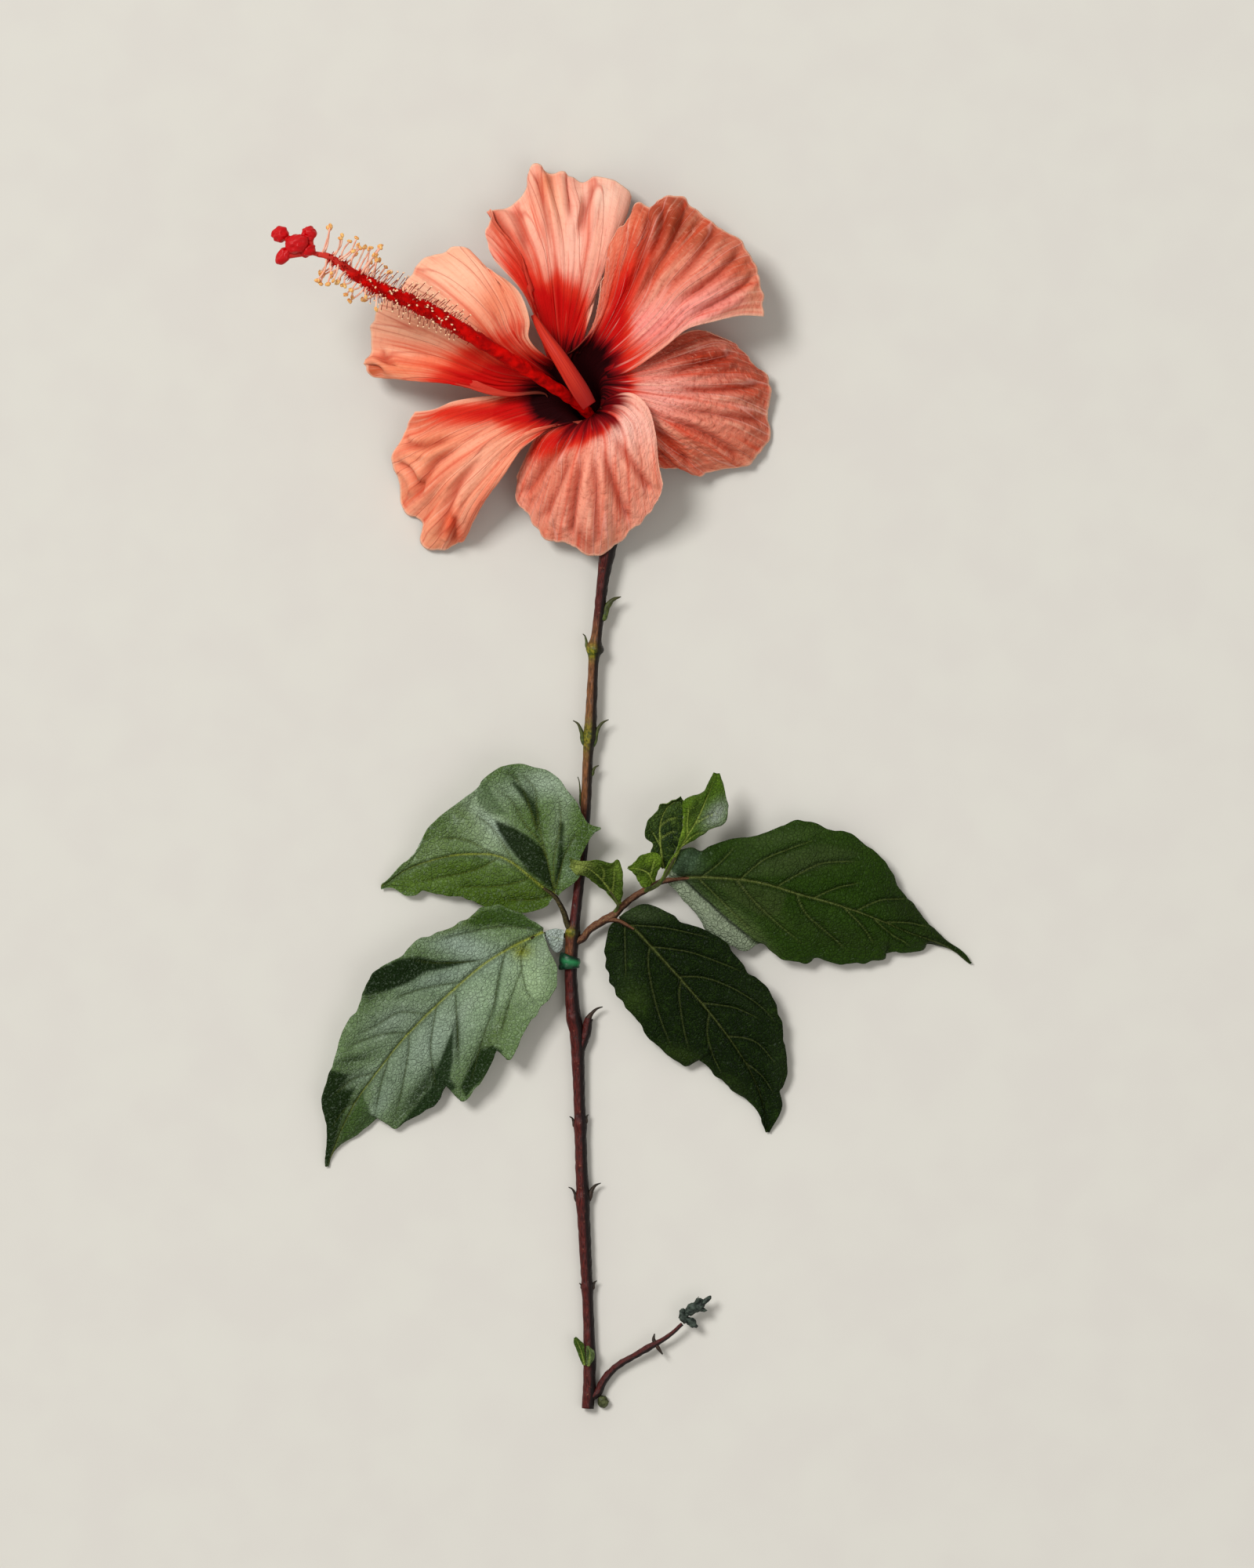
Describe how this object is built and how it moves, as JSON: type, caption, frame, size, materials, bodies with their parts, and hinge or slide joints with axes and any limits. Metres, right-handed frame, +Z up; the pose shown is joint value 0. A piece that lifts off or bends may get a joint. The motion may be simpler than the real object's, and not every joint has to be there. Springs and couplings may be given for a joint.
{
  "type": "cut hibiscus stem",
  "caption": "Cut hibiscus stem lying on a surface, with an open ruffled flower, leaves, young leaves and a side twig.",
  "frame": {"origin": "middle of the bottom of the whole plant's box, on the surface that it lies on", "axes": "+Y runs up the stem towards the flower, +X to the right seen from above, +Z up from the surface"},
  "size_m": [0.223, 0.3986, 0.0648],
  "materials": {
    "bark": "satin",
    "bud": "matte",
    "calyx": "matte",
    "collar": "satin",
    "column": "satin",
    "leaf": "satin",
    "pale_leaf": "satin",
    "petal": "matte",
    "red_petal": "matte",
    "stigma": "matte",
    "stipule": "matte",
    "twig": "matte",
    "young_leaf": "satin"
  },
  "bodies": {
    "root": {"base_bud": "young_leaf", "base_twig": "bark", "bud_leaf_left": "young_leaf", "bud_leaf_right": "young_leaf", "calyx": "calyx", "epicalyx": "calyx", "leaf_lower_left": "pale_leaf", "leaf_lower_right": "leaf", "leaf_right": "leaf", "leaf_scar": "bark", "leaf_sheath": "pale_leaf", "leaf_upper_left": "leaf", "main_stem": "bark", "petal_bottom": "petal", "petal_left": "petal", "petal_lower_left": "petal", "petal_right": "petal", "petal_top": "petal", "petal_upper_right": "petal", "petaloid_strip": "red_petal", "scar_thorn": "bark", "side_branch": "twig", "staminal_column": "column", "stem_collar": "collar", "stipule_1": "stipule", "stipule_10": "stipule", "stipule_11": "stipule", "stipule_12": "stipule", "stipule_2": "stipule", "stipule_3": "stipule", "stipule_4": "stipule", "stipule_5": "stipule", "stipule_6": "stipule", "stipule_7": "stipule", "stipule_8": "stipule", "stipule_9": "stipule", "style": "stigma", "twig_bract_lower": "bark", "twig_bract_upper": "bark", "twig_tip_bud": "bud", "young_leaf_bright": "young_leaf", "young_leaf_centre": "young_leaf", "young_leaf_dark": "leaf", "young_leaf_small": "young_leaf"}
  },
  "joints": []
}
